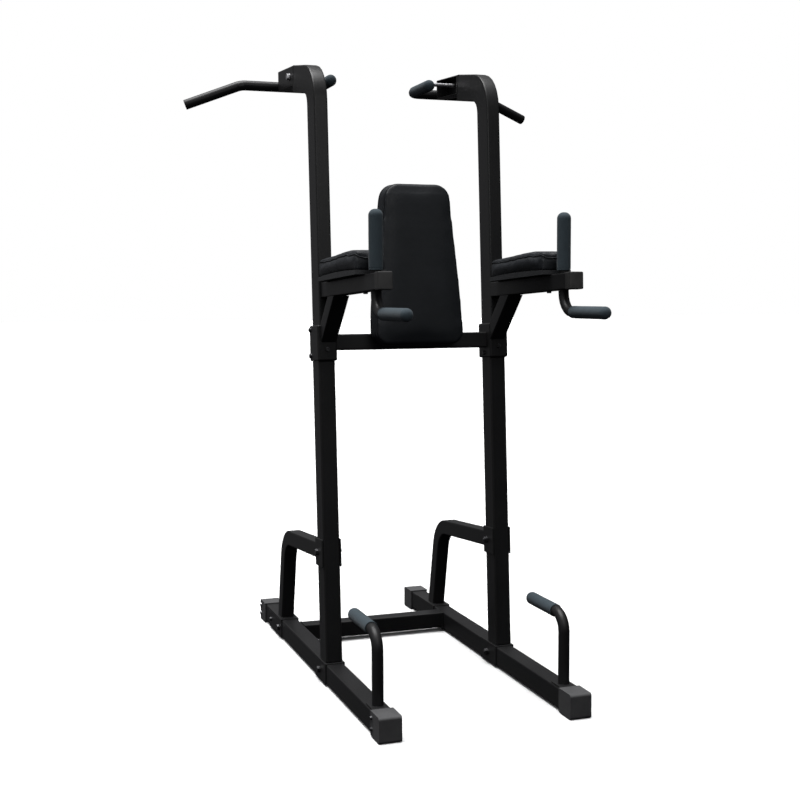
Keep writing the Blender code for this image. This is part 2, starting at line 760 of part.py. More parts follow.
def back_pad():
    """The pad, its board, and the steel strap that holds the board to the mid crossbar."""
    strap_front = MID_BAR_D / 2 + GAP + PAD_STRAP
    board_front = strap_front + GAP + PAD_BOARD
    pad_front = board_front + GAP + PAD_THICK
    pad = pad_plate("back_pad", pad_front, PAD_THICK, 0.0, VINYL)
    bevel(pad, PAD_ROUND, 2, 60.0)
    pad_plate("back_pad_board", board_front, PAD_BOARD, PAD_BOARD_INSET, BOARD)
    strap = box("back_pad_support", (-PAD_STRAP_W / 2, -strap_front, MID_BAR_AT - MID_BAR_H / 2),
                (PAD_STRAP_W / 2, -strap_front + PAD_STRAP, PAD_TOP_AT - PAD_STRAP_SHORT))
    bevel(strap, PAD_STRAP / 5, 1)
    settle(strap)
    strap.data.transform(UPRIGHT_FRAME)
    as_part(strap, "back_pad_support", STEEL)


def arm_beam(side):
    name = "arm_beam_" + side_name(side)
    length = (ARM_REAR_Y - ARM_FRONT_Y) / math.cos(ARM_RISE)
    beam = box_tube(name, [(ARM_H, 0), (-length, 0)], ARM_W, ARM_H, TUBE_WALL, ARM_CORNER)
    apply_place(beam, arm(side))
    low = (ARM_AXIS_Z - SADDLE_TOP) / math.cos(LEAN)
    mitre = box("arm_mitre", (-FAR, -UPPER_D / 2 - GAP, low - FAR), (FAR, FAR, low + FAR))
    apply_place(mitre, tower(side))
    cut(beam, mitre)
    return as_part(beam, name, STEEL)


def arm_end_cap(side):
    """A ribbed plastic cap: a plug inside the beam and a grooved head outside."""
    name = "arm_end_cap_" + side_name(side)
    length = (ARM_REAR_Y - ARM_FRONT_Y) / math.cos(ARM_RISE)
    half_w, half_h = ARM_W / 2 + CAP_LIP, ARM_H / 2 + CAP_LIP
    start = -length - GAP
    head = box(name, (-half_w, start - CAP_LENGTH, -half_h), (half_w, start, half_h))
    bevel(head, ARM_CORNER, 2)
    settle(head)
    inside = TUBE_WALL + CAP_PLUG_PLAY
    plug_w, plug_h = ARM_W / 2 - inside, ARM_H / 2 - inside
    join(head, [box("plug", (-plug_w, start - CAP_LENGTH / 5, -plug_h), (plug_w, start + CAP_PLUG, plug_h))])
    core_w, core_h = half_w - CAP_GROOVE_DEEP, half_h - CAP_GROOVE_DEEP
    for share in CAP_GROOVES:
        near = start - CAP_LENGTH * share - CAP_GROOVE_W / 2
        far = near + CAP_GROOVE_W
        groove = box("groove", (-FAR, near, -FAR), (FAR, far, FAR))
        carve(groove, box("core", (-core_w, near - FAR, -core_h), (core_w, far + FAR, core_h)))
        carve(head, groove)
    apply_place(head, arm(side))
    return as_part(head, name, PLASTIC)


def arm_strut(side):
    """A tube from the underside of the arm, down and back to the upright."""
    name = "arm_strut_" + side_name(side)
    way = Vector((math.cos(STRUT_SLOPE), -math.sin(STRUT_SLOPE)))
    start = Vector((STRUT_TOP_Y, ARM_AXIS_Z - ARM_H / 2)) - way * STRUT_OVERLAP
    end = start + way * STRUT_LENGTH
    strut = box_tube(name, [tuple(start), tuple(end)], STRUT_W, STRUT_D, TUBE_WALL, ARM_CORNER)
    apply_place(strut, Matrix.Translation((side * ARM_X, 0, 0)))
    above = box("arm_side", (-FAR, -0.5, -ARM_H / 2 - GAP), (FAR, FAR, FAR))
    apply_place(above, arm(side))
    cut(strut, above)
    low, high = JOINT_AT - STRUT_LENGTH, JOINT_AT + STRUT_LENGTH
    behind = box("upright_side", (-FAR, -UPPER_D / 2 - GAP, low), (FAR, FAR, high))
    apply_place(behind, tower(side))
    cut(strut, behind)
    reach = UPPER_D / 2 + 2 * GAP + JOINT_WALL
    joint = box("joint_side", (-FAR, -reach, low), (FAR, FAR, JOINT_AT + JOINT_HALF + GAP))
    apply_place(joint, tower(side))
    cut(strut, joint)
    return as_part(strut, name, STEEL)


def elbow_arch(share):
    """How far the board's top is above its ends, at a share of its length from the rear."""
    return ELBOW_ARCH * (1 - (2 * share - 1) ** 2)


def elbow_top(share):
    """The top of the elbow pad above its ends' underside."""
    if share < ELBOW_HUMP_AT:
        rise = math.sin(math.pi / 2 * share / ELBOW_HUMP_AT) ** 2
    else:
        rise = 1 - ELBOW_FALL * math.sin(math.pi / 2 * (share - ELBOW_HUMP_AT) / (1 - ELBOW_HUMP_AT)) ** 2
    return ELBOW_EDGE + ELBOW_HUMP * rise


def elbow_layer(rear, front, under, over):
    """The outline of a layer of the elbow rest: two heights along its length, as functions of the share."""
    shares = [step / ELBOW_STEPS for step in range(ELBOW_STEPS + 1)]
    lower = [(rear + (front - rear) * share, under(share), 0) for share in shares]
    upper = [(rear + (front - rear) * share, over(share), 0) for share in reversed(shares)]
    return lower + upper


def elbow_pad(side):
    """The board on the arm, with its arched top, and the pad with its low hump."""
    rear = (ELBOW_REAR_Y - ARM_REAR_Y) / math.cos(ARM_RISE)
    front = (ELBOW_FRONT_Y - ARM_REAR_Y) / math.cos(ARM_RISE)
    base = ARM_H / 2 + GAP
    low = base + ELBOW_BOARD + GAP
    over = ELBOW_BOARD_OVER
    board = side_slab("board", elbow_layer(
        rear + over, front - over,
        lambda share: base, lambda share: base + ELBOW_BOARD + elbow_arch(share),
    ), ELBOW_W + 2 * over)
    bevel(board, ELBOW_BOARD / 4, 2, 60.0)
    apply_place(board, arm(side))
    as_part(board, "elbow_pad_board_" + side_name(side), BOARD)
    pad = side_slab("elbow_pad", elbow_layer(
        rear, front, lambda share: low + elbow_arch(share), lambda share: low + elbow_top(share),
    ), ELBOW_W)
    bevel(pad, ELBOW_ROUND, 2, 60.0)
    apply_place(pad, arm(side))
    as_part(pad, "elbow_pad_" + side_name(side), VINYL)


def arm_height(y, level):
    """World Z at a world Y of a line parallel to the arm, that far above its axis."""
    return ARM_AXIS_Z + (ARM_REAR_Y - y) * math.tan(ARM_RISE) + level / math.cos(ARM_RISE)


def handle_tube(side, beam):
    """A tube that stands in the arm, and bends forward below it."""
    x = side * ARM_X
    label = side_name(side)
    top, front = GRIP_TOP_Z - TUBE_SHORT, DIP_END_Y + TUBE_SHORT
    corners = [(x, HANDLE_Y, top), (x, HANDLE_Y, DIP_HEIGHT), (x, front, DIP_HEIGHT)]
    tube = round_tube("handle_tube_" + label, filleted(corners, HANDLE_BEND_R), HANDLE_TUBE_D, ROUND_WALL)
    as_part(tube, "handle_tube_" + label, STEEL)
    hole_d = HANDLE_TUBE_D + 2 * HOLE_PLAY
    cut(beam, rod("handle_hole", (x, HANDLE_Y, ARM_AXIS_Z - FAR), (x, HANDLE_Y, ARM_AXIS_Z + FAR), hole_d))
    foot_z = arm_height(HANDLE_Y, ARM_H / 2) + GRIP_ABOVE_ARM
    foam_sleeve("vertical_grip_" + label, (x, HANDLE_Y, foot_z), (x, HANDLE_Y, GRIP_TOP_Z),
                GRIP_FOAM_D, HANDLE_TUBE_D)
    foam_sleeve("dip_grip_" + label, (x, HANDLE_Y - HANDLE_BEND_R - BEND_CLEAR, DIP_HEIGHT),
                (x, DIP_END_Y, DIP_HEIGHT), DIP_FOAM_D, HANDLE_TUBE_D)


def pull_up_bracket(side):
    """A flange on the upright's end, and a channel behind it that is open towards the middle."""
    name = "pull_up_bracket_" + side_name(side)
    end, way = top_end()
    face = end + way * GAP
    y, z = upright_point(face.x, face.y)
    x = side * TOWER_X
    at_end = Matrix.Translation((x, y, z)) @ Matrix.Rotation(TOP_RISE, 4, "X")
    half_w = BRACKET_W / 2
    flange = box(name, (-UPPER_W / 2, 0, -UPPER_D / 2), (UPPER_W / 2, BRACKET_FLANGE, UPPER_D / 2))
    bevel(flange, BRACKET_FLANGE / 6, 1)
    apply_place(flange, at_end)
    back = BAR_Y - BAR_D / 2 - GAP
    length = back - y
    channel = box("channel", (-half_w, 0, -BRACKET_H), (half_w, length + BRACKET_H, 0))
    bevel(channel, BRACKET_WALL * 0.75, 2)
    settle(channel)
    open_side, closed_side = side * -FAR, side * (half_w - BRACKET_WALL)
    carve(channel, box(
        "hollow",
        (min(open_side, closed_side), BRACKET_FLANGE * 2, -BRACKET_H + BRACKET_WALL),
        (max(open_side, closed_side), length - BRACKET_WALL * 2, -BRACKET_WALL),
    ))
    apply_place(channel, Matrix.Translation((x, y, z + UPPER_D / 2)) @ Matrix.Rotation(BRACKET_RISE, 4, "X"))
    carve(channel, box("trim", (x - FAR, back, z - FAR), (x + FAR, back + FAR, z + FAR)))
    near = box("near", (-FAR, -FAR, -FAR), (FAR, 0, FAR))
    apply_place(near, at_end)
    carve(channel, near)
    join(flange, [channel])
    return as_part(flange, name, STEEL)


def pull_up_bar(side):
    """The bar behind the bracket: bent down at its outer end, and turned forward into a short grip inside."""
    label = side_name(side)
    grip_x, front = side * INNER_GRIP_X, INNER_GRIP_FRONT_Y
    corners = [
        (grip_x, front + TUBE_SHORT, BAR_HEIGHT),
        (grip_x, BAR_Y, BAR_HEIGHT),
        (side * BAR_BEND_X, BAR_Y, BAR_HEIGHT),
        (side * BAR_SPAN / 2, BAR_Y + BAR_END_BACK, BAR_HEIGHT - BAR_END_DROP),
    ]
    path = filleted(corners, (INNER_BEND_R, BAR_BEND_R))
    bar = round_tube("pull_up_bar_" + label, path, BAR_D, ROUND_WALL)
    as_part(bar, "pull_up_bar_" + label, STEEL)
    foam_sleeve("pull_up_grip_" + label, (grip_x, BAR_Y - INNER_BEND_R - BEND_CLEAR, BAR_HEIGHT),
                (grip_x, front, BAR_HEIGHT), INNER_FOAM_D, BAR_D)


def grip_tie_bolt(side, bracket):
    """The bolt through the bracket's outer plate that ends at the inner grip."""
    out = side * (TOWER_X + BRACKET_W / 2 + GAP)
    end = side * (INNER_GRIP_X + INNER_FOAM_D / 2 + GAP)
    drill_x([bracket], out + side * FAR / 10, side * TOWER_X, TIE_Y, TIE_Z, TIE_D)

    def point(beyond):
        return (out + side * beyond, TIE_Y, TIE_Z)

    tie = rod("tie", (end, TIE_Y, TIE_Z), point(WASHER / 2), TIE_D)
    join(tie, [
        rod("washer", point(0), point(WASHER), TIE_D * 1.9),
        rod("head", point(WASHER * 0.9), point(WASHER + TIE_D * 0.55), TIE_D * 1.65, 6),
    ])
    as_part(tie, "grip_tie_bolt_" + side_name(side), ZINC)


def bolt_through(name, side, pieces, half, y, z):
    """A bolt along X through several pieces of one tower, with its head on the outer side."""
    x = side * TOWER_X
    reach = half + GAP
    drill_x(pieces, x - 2 * half, x + 2 * half, y, z, BOLT_D)
    return hex_bolt(f"{name}_{side_name(side)}", x + side * reach, x - side * reach, y, z)


def centre_footprint():
    """Moves everything so that the origin is the middle of the footprint."""
    middle = (RAIL_REAR + FOOT_END + DIP_END_Y) / 2
    for collection in (PARTS, CUTTERS):
        for obj in collection.objects:
            obj.location.y -= middle


def build_base(side):
    """One rail with its boots, saddles, brace, and the lower upright."""
    label = side_name(side)
    rail = base_rail(side)
    foot(side, "front")
    foot(side, "rear")
    post = lower_upright(side)
    under = saddle("upright_saddle_" + label, side,
                   UPRIGHT_Y - UPRIGHT_SADDLE_FRONT, UPRIGHT_Y + UPRIGHT_SADDLE_REAR)
    behind = saddle("brace_saddle_" + label, side,
                    BRACE_FOOT_Y - BRACE_SADDLE_FRONT, BRACE_FOOT_Y + BRACE_SADDLE_REAR)
    rear_brace(side)
    yoke = brace_yoke(side)
    saddle_half = RAIL_W / 2 + GAP + SADDLE_PLATE
    rail_axis = RAIL_BOTTOM + RAIL_H / 2
    front_bolt_y, rear_bolt_y = UPRIGHT_Y + SADDLE_BOLT_BACK, BRACE_FOOT_Y - BRACE_SADDLE_FRONT / 2
    bolt_through("upright_saddle_bolt", side, [rail, under], saddle_half, front_bolt_y, rail_axis)
    bolt_through("brace_saddle_bolt", side, [rail, behind], saddle_half, rear_bolt_y, rail_axis)
    yoke_bolt = upright_point(YOKE_BOLT_BACK, BRACE_AT)
    bolt_through("brace_yoke_bolt", side, [post, yoke], LOWER_W / 2 + GAP + YOKE_WALL, *yoke_bolt)
    push_up_handle(side)


def build_top(side):
    """Everything above the lower upright on one side."""
    upright_joint(side)
    upper_upright(side)
    beam = arm_beam(side)
    arm_end_cap(side)
    arm_strut(side)
    elbow_pad(side)
    handle_tube(side, beam)
    bracket = pull_up_bracket(side)
    pull_up_bar(side)
    grip_tie_bolt(side, bracket)


def build():
    base_crossbar()
    mid_crossbar()
    back_pad()
    for side in (-1, 1):
        build_base(side)
        build_top(side)


build()
centre_footprint()
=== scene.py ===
import json
import math

import bmesh
import bpy
import numpy as np
from mathutils import Matrix, Vector, noise
from mathutils.bvhtree import BVHTree


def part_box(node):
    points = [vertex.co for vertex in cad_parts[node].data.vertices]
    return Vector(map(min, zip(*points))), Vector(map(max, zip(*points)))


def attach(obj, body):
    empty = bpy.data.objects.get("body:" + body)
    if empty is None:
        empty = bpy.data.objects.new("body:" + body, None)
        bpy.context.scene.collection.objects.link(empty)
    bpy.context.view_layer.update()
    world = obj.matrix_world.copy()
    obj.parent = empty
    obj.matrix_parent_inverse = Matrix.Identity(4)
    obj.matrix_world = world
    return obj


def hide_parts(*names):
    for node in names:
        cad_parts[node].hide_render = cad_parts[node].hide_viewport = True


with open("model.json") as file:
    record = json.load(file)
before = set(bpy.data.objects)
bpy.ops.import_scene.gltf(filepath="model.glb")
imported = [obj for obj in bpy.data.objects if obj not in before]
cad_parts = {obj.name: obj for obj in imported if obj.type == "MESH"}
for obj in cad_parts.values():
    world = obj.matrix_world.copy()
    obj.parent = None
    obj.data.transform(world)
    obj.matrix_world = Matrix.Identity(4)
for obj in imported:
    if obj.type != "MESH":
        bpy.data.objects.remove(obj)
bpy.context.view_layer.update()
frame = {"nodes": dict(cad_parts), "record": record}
NODES = frame["nodes"]
SIDES = ("left", "right")

# The leaning uprights, as the CAD model has them
LEAN = math.radians(3.3)
UPRIGHT_FOOT = Vector((0.0, -0.0676, 0.0791))
ARM_RISE = math.radians(2.3)

# The photograph's camera
CAMERA_AT = Vector((-1.4515, -4.0862, 1.3103))
CAMERA_YAW = math.radians(-19.11)
CAMERA_DOWN = math.radians(4.80)
CAMERA_ROLL = math.radians(-0.278)
CAMERA_LENS = 56.54

BRIGHT_SIDE = Vector((-0.30, 0.10, 0.95))    # where the studio is brightest


# ---------------------------------------------------------------- materials

def opaque(value):
    """A colour, or a grey from one number, with full alpha."""
    return (*value, 1.0) if isinstance(value, tuple) else (value, value, value, 1.0)


class Graph:
    """A Principled material whose nodes are added and wired by name."""

    def __init__(self, name):
        self.material = bpy.data.materials.new(name)
        self.material.use_nodes = True
        self.tree = self.material.node_tree
        self.shader = self.tree.nodes["Principled BSDF"]
        self.place = self.add("ShaderNodeTexCoord").outputs["Object"]

    def add(self, kind, values=None, **settings):
        node = self.tree.nodes.new(kind)
        for key, value in settings.items():
            setattr(node, key, value)
        for key, value in (values or {}).items():
            node.inputs[key].default_value = value
        return node

    def wire(self, source, target):
        self.tree.links.new(source, target)

    def give(self, value, socket):
        """Sets a socket to a number or a colour, or wires another node's output to it."""
        if isinstance(value, bpy.types.NodeSocket):
            self.wire(value, socket)
        elif socket.type == "RGBA":
            socket.default_value = opaque(value)
        else:
            socket.default_value = value

    def noise(self, scale, detail=2.0, roughness=0.5):
        values = {"Scale": scale, "Detail": detail, "Roughness": roughness}
        node = self.add("ShaderNodeTexNoise", values)
        self.wire(self.place, node.inputs["Vector"])
        return node.outputs["Fac"]

    def cells(self, scale, feature="F1", randomness=1.0, place=None):
        values = {"Scale": scale, "Randomness": randomness}
        node = self.add("ShaderNodeTexVoronoi", values, feature=feature)
        self.wire(place or self.place, node.inputs["Vector"])
        return node.outputs["Distance"]

    def warped(self, scale, reach):
        """The object's coordinates, moved about by a noise of that reach."""
        wobble = self.add("ShaderNodeTexNoise", {"Scale": scale, "Detail": 2.0})
        self.wire(self.place, wobble.inputs["Vector"])
        scaled = self.add("ShaderNodeVectorMath", {"Scale": reach}, operation="SCALE")
        self.wire(wobble.outputs["Color"], scaled.inputs[0])
        moved = self.add("ShaderNodeVectorMath", operation="ADD")
        self.wire(self.place, moved.inputs[0])
        self.wire(scaled.outputs["Vector"], moved.inputs[1])
        return moved.outputs["Vector"]

    def ramp(self, source, low, high, start=0.3, end=0.7):
        """A value or a colour that goes from low to high as the source goes from start to end."""
        node = self.add("ShaderNodeValToRGB")
        first, last = node.color_ramp.elements
        first.position, last.position = start, end
        first.color, last.color = opaque(low), opaque(high)
        self.wire(source, node.inputs["Fac"])
        return node.outputs["Color"]

    def mix(self, share, first, second):
        node = self.add("ShaderNodeMix", data_type="RGBA")
        self.give(share, node.inputs[0])
        self.give(first, node.inputs[6])
        self.give(second, node.inputs[7])
        return node.outputs[2]

    def bump(self, height, distance, strength=1.0, under=None):
        node = self.add("ShaderNodeBump", {"Strength": strength, "Distance": distance})
        self.wire(height, node.inputs["Height"])
        if under:
            self.wire(under, node.inputs["Normal"])
        return node.outputs["Normal"]

    def finish(self, colour, rough, normal, **fixed):
        self.wire(colour, self.shader.inputs["Base Color"])
        self.wire(rough, self.shader.inputs["Roughness"])
        self.wire(normal, self.shader.inputs["Normal"])
        for key, value in fixed.items():
            self.shader.inputs[key.replace("_", " ")].default_value = value
        return self.material


def powder_coat():
    """Satin black, with faint specks and a fine orange peel."""
    g = Graph("powder_coat")
    cloud = g.noise(5.0, 3.0)
    speck = g.noise(420.0, 2.0)
    coat = g.ramp(cloud, (0.0090, 0.0090, 0.0095), (0.0125, 0.0125, 0.013))
    colour = g.mix(g.ramp(speck, 0.0, 0.35, 0.45, 0.75), coat, (0.022, 0.022, 0.023))
    rough = g.mix(0.35, g.ramp(cloud, 0.36, 0.46), g.ramp(speck, 0.30, 0.60))
    peel = g.bump(g.noise(750.0, 2.0, 0.6), 0.00022, 0.55)
    return g.finish(colour, rough, peel, Specular_IOR_Level=0.30)


def foot_rubber():
    """Matt dark grey moulded rubber."""
    g = Graph("foot_rubber")
    cloud = g.noise(28.0, 4.0)
    grain = g.noise(1500.0, 3.0, 0.6)
    rubber = g.ramp(cloud, (0.050, 0.050, 0.052), (0.066, 0.066, 0.068))
    colour = g.mix(g.ramp(grain, 0.0, 0.5), rubber, (0.085, 0.085, 0.087))
    rough = g.ramp(cloud, 0.62, 0.78)
    normal = g.bump(grain, 0.00030, 0.6)
    return g.finish(colour, rough, normal, Specular_IOR_Level=0.30)


def grip_foam():
    """Dark blue-grey closed-cell foam with open pores, the pores darkened with painted shade."""
    g = Graph("grip_foam")
    cloud = g.noise(35.0, 3.0)
    pores = g.cells(1250.0)
    grain = g.noise(900.0, 4.0, 0.7)
    foam = g.ramp(cloud, (0.026, 0.038, 0.047), (0.034, 0.049, 0.060))
    # painted shade: the pores, which are dimples in the bump, keep the darker foam colour while the foam
    # around them is lighter
    colour = g.mix(g.ramp(pores, 0.0, 0.6, 0.1, 0.6), foam, (0.048, 0.066, 0.078))
    rough = g.ramp(grain, 0.74, 0.95)
    normal = g.bump(grain, 0.00040, 0.6, g.bump(pores, 0.00030, 0.5))
    return g.finish(colour, rough, normal, Sheen_Weight=0.08, Sheen_Roughness=0.5,
                    Specular_IOR_Level=0.25)


def pad_vinyl():
    """Bluish black vinyl with a leather grain, its creases darkened with painted shade."""
    g = Graph("pad_vinyl")
    cloud = g.noise(14.0, 3.0)
    leather = g.cells(620.0, "DISTANCE_TO_EDGE", 0.9, g.warped(260.0, 0.0012))
    creases = g.ramp(leather, 0.0, 1.0, 0.0, 0.16)
    fine = g.noise(2300.0, 2.0, 0.6)
    vinyl = g.ramp(cloud, (0.0090, 0.0112, 0.0145), (0.0130, 0.0156, 0.0195))
    # painted shade: the grain's creases get a darker colour than the vinyl between them
    colour = g.mix(creases, (0.0060, 0.0075, 0.0095), vinyl)
    rough = g.mix(creases, 0.62, g.ramp(cloud, 0.40, 0.50))
    normal = g.bump(creases, 0.00018, 0.75, g.bump(fine, 0.00005, 0.5))
    return g.finish(colour, rough, normal, Specular_IOR_Level=0.35)


def board_cover():
    """The woven black backing on the pads' boards."""
    g = Graph("board_cover")
    cloud = g.noise(20.0, 3.0)
    weave = g.cells(900.0)
    backing = g.ramp(cloud, (0.012, 0.013, 0.015), (0.020, 0.021, 0.023))
    colour = g.mix(weave, backing, (0.030, 0.031, 0.034))
    rough = g.ramp(cloud, 0.50, 0.64)
    normal = g.bump(weave, 0.00025, 0.6)
    return g.finish(colour, rough, normal, Specular_IOR_Level=0.45)


def cap_plastic():
    """Dark grey moulded plastic of the arm caps."""
    g = Graph("cap_plastic")
    cloud = g.noise(40.0, 3.0)
    grain = g.noise(1400.0, 3.0, 0.6)
    plastic = g.ramp(cloud, (0.022, 0.022, 0.022), (0.032, 0.031, 0.031))
    colour = g.mix(g.ramp(grain, 0.0, 0.5), plastic, (0.046, 0.045, 0.044))
    rough = g.ramp(cloud, 0.46, 0.60)
    return g.finish(colour, rough, g.bump(grain, 0.00020, 0.6), Specular_IOR_Level=0.5)


def zinc_plate():
    """Bright plating with fine scratches."""
    g = Graph("zinc_plate")
    cloud = g.noise(120.0, 4.0)
    scratch = g.noise(900.0, 3.0, 0.7)
    colour = g.ramp(cloud, (0.46, 0.46, 0.47), (0.66, 0.66, 0.68))
    rough = g.mix(0.4, g.ramp(cloud, 0.24, 0.40), g.ramp(scratch, 0.20, 0.50))
    return g.finish(colour, rough, g.bump(scratch, 0.00008, 0.5), Metallic=1.0)


def black_oxide():
    """The dark finish of most bolts."""
    g = Graph("black_oxide")
    cloud = g.noise(150.0, 4.0)
    scratch = g.noise(1000.0, 3.0, 0.7)
    colour = g.ramp(cloud, (0.05, 0.05, 0.052), (0.10, 0.10, 0.105))
    rough = g.mix(0.4, g.ramp(cloud, 0.26, 0.42), g.ramp(scratch, 0.22, 0.50))
    return g.finish(colour, rough, g.bump(scratch, 0.00008, 0.5), Metallic=0.9)


SLOT_MATERIALS = {
    "frame_steel": powder_coat(), "foot_rubber": foot_rubber(), "grip_foam": grip_foam(),
    "pad_vinyl": pad_vinyl(), "pad_board": board_cover(), "cap_plastic": cap_plastic(),
    "zinc": zinc_plate(), "dark_bolt": black_oxide(),
}


# ---------------------------------------------------------------- mesh helpers

WELD_REACH = 1e-5                   # points of a mesh this close are one
FLAT_ANGLE = math.radians(0.5)
EDGE_ANGLE = math.radians(35.0)     # sharper edges than this are rounded or kept sharp
EDGE_ROUND = 0.0006
MOULDED_ROUND = 0.0009
MOULDED_SLOTS = ("foot_rubber", "cap_plastic")


def new_piece(name, bm, slot):
    """A shown piece from a bmesh in the row frame, with its slot's material."""
    mesh = bpy.data.meshes.new(name)
    bmesh.ops.recalc_face_normals(bm, faces=bm.faces)
    bm.to_mesh(mesh)
    bm.free()
    mesh.materials.append(SLOT_MATERIALS[slot])
    mesh.shade_smooth()
    obj = bpy.data.objects.new(name, mesh)
    bpy.context.scene.collection.objects.link(obj)
    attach(obj, "root")
    return obj


def middle(node):
    low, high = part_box(node)
    return (low + high) / 2


def facing(way):
    """The turn that takes +Z to a direction."""
    return way.to_track_quat("Z", "Y").to_matrix().to_4x4()


def soften(obj, width):
    """Welds a CAD mesh's split corners, joins its flat faces and rounds its edges, as modifiers."""
    mesh = obj.data
    normals = mesh.attributes.get("custom_normal")
    if normals:
        mesh.attributes.remove(normals)
    mesh.shade_smooth()
    weld = obj.modifiers.new("Weld", "WELD")
    weld.merge_threshold = WELD_REACH
    flat = obj.modifiers.new("Flat", "DECIMATE")
    flat.decimate_type = "DISSOLVE"
    flat.angle_limit = FLAT_ANGLE
    edges = obj.modifiers.new("Edges", "BEVEL")
    edges.width = width
    edges.segments = 2
    edges.limit_method = "ANGLE"
    edges.angle_limit = EDGE_ANGLE
    edges.use_clamp_overlap = True
    shading = obj.modifiers.new("Shading", "WEIGHTED_NORMAL")
    shading.weight = 80


def dress_cad_nodes():
    """Gives every CAD node the material of its slot in the record."""
    slots = {part["node"]: part["material_slot"] for part in frame["record"]["subparts"]}
    for name, obj in NODES.items():
        obj.data.materials.clear()
        obj.data.materials.append(SLOT_MATERIALS[slots[name]])
        soften(obj, MOULDED_ROUND if slots[name] in MOULDED_SLOTS else EDGE_ROUND)


# ---------------------------------------------------------------- grips

GRIP_SEGMENTS = 64
GRIP_BORE = 0.86        # of the sleeve's radius
GRIP_DOME = 0.9         # the rounding of the closed end, of the sleeve's radius
GRIP_RIM = 0.0018       # the rounding of the open end
GRIP_LIP = (0.004, 0.0012)   # how deep the bore shows, and where its lip is
BODY_RINGS = 40
ARC_STEPS = 12
SWELL = 0.00025         # how far the foam's surface wavers
SWELL_SCALE = 38
GRIPS = {   # along which axis and which way the domed end points
    "vertical_grip": Vector((0, 0, 1)),
    "dip_grip": Vector((0, -1, 0)),
    "push_up_grip": Vector((0, 1, 0)),
    "pull_up_grip": Vector((0, -1, 0)),
}


def grip_profile(radius, bore, length, dome):
    """(radius, height) down the sleeve: the lip of its open end, a straight body and a domed end."""
    points = [(bore, height) for height in GRIP_LIP]
    for step in range(ARC_STEPS // 2 + 1):
        turn = math.pi * step / ARC_STEPS
        points.append((radius - GRIP_RIM + GRIP_RIM * math.cos(turn), GRIP_RIM - GRIP_RIM * math.sin(turn)))
    for step in range(1, BODY_RINGS):
        points.append((radius, GRIP_RIM + (length - dome - GRIP_RIM) * step / BODY_RINGS))
    for step in range(ARC_STEPS + 1):
        turn = math.pi / 2 * step / ARC_STEPS
        points.append((radius - dome + dome * math.cos(turn), length - dome + dome * math.sin(turn)))
    points.append(((radius - dome) * 0.5, length))
    return points


def sleeve_ring(bm, place, reach, height, radius, seed):
    """One ring of a sleeve, with the foam's faint swell."""
    ring = []
    for step in range(GRIP_SEGMENTS):
        angle = 2 * math.pi * step / GRIP_SEGMENTS
        point = Vector((reach * math.cos(angle), reach * math.sin(angle), height))
        swell = noise.noise(point * SWELL_SCALE + seed) * SWELL
        point.x *= 1 - abs(swell) / radius
        point.y *= 1 - abs(swell) / radius
        ring.append(bm.verts.new(place @ point))
    return ring


def foam_grip(kind, side):
    """A moulded foam sleeve in place of the CAD one, of the same size."""
    node = f"{kind}_{side}"
    low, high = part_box(node)
    way = GRIPS[kind]
    size = high - low
    length = abs(size.dot(way))
    radius = max(abs(size[i]) for i in range(3) if abs(way[i]) < 0.5) / 2
    centre = (low + high) / 2
    place = Matrix.Translation(centre - way * length / 2) @ facing(way)
    bm = bmesh.new()
    rings = [sleeve_ring(bm, place, reach, height, radius, centre * 5)
             for reach, height in grip_profile(radius, radius * GRIP_BORE, length, radius * GRIP_DOME)]
    for below, above in zip(rings, rings[1:]):
        for step in range(GRIP_SEGMENTS):
            nxt = (step + 1) % GRIP_SEGMENTS
            bm.faces.new((below[step], below[nxt], above[nxt], above[step]))
    bm.faces.new(rings[-1])
    piece = new_piece(f"{kind}_foam_{side}", bm, "grip_foam")
    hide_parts(node)


# ---------------------------------------------------------------- padded pieces

PAD_FRAME = Matrix.Translation(UPRIGHT_FOOT) @ Matrix.Rotation(-LEAN, 4, "X")

CLOTH_FRAMES = 20
CLOTH_PRESSURE = 4.0
CLOTH_TENSION = 25.0
CLOTH_BENDING = 2.0
SMOOTH_ROUNDS = 3

SEAM_WIDTH = 0.0075     # how far from a seam the cover is pulled in
SEAM_CHUNK = 64         # points of a seam that are compared at once
PIPING_LIFT = 0.35      # how much of the piping's thickness its axis is above the groove
PATH_SPACING = 0.004
CORNER_STEPS = 12

PAD_VOXEL = 0.005
PAD_SWELL = 0.008
PAD_HELD = 0.012        # the pad stays as it is this near to its board
PAD_CALM = 60           # rounds of evening out, because the pad's face is smooth
PAD_BOW = 0.060         # how much wider its bowed sides make it
PAD_BOW_LOW = 0.6       # below 1 the widest place is in the lower half
PAD_TOP_ZONE = 0.06     # the pad's width at its top is taken within this
PAD_CORNERS = (0.042, 0.052, 0.052, 0.042)
PAD_PIPING = 0.0042
PAD_GROOVE = 0.0026
PAD_SEAM_FRONT = 0.013  # behind the pad's front
PAD_SEAM_REAR = 0.010   # ahead of the pad's rear

ELBOW_VOXEL = 0.0045
ELBOW_SHRINK = 0.985
ELBOW_SWELL = 0.005
ELBOW_HELD = 0.008
ELBOW_CALM = 3
ELBOW_REAR_ZONE = 0.02  # the underside's height at the rear is taken within this
ELBOW_CORNER = 0.012
ELBOW_PIPING = 0.0036
ELBOW_GROOVE = 0.0024
ELBOW_SEAM_DROP = 0.010     # below the top of the pad
ELBOW_PROBE = (0.7, 0.96)   # the top is looked for this share of the way out to the edge
ELBOW_PROBE_ABOVE = 0.05


def coordinates(obj):
    return np.array([v.co for v in obj.data.vertices])


def move_points(obj, points):
    obj.data.vertices.foreach_set("co", points.astype(np.float32).ravel())
    obj.data.update()


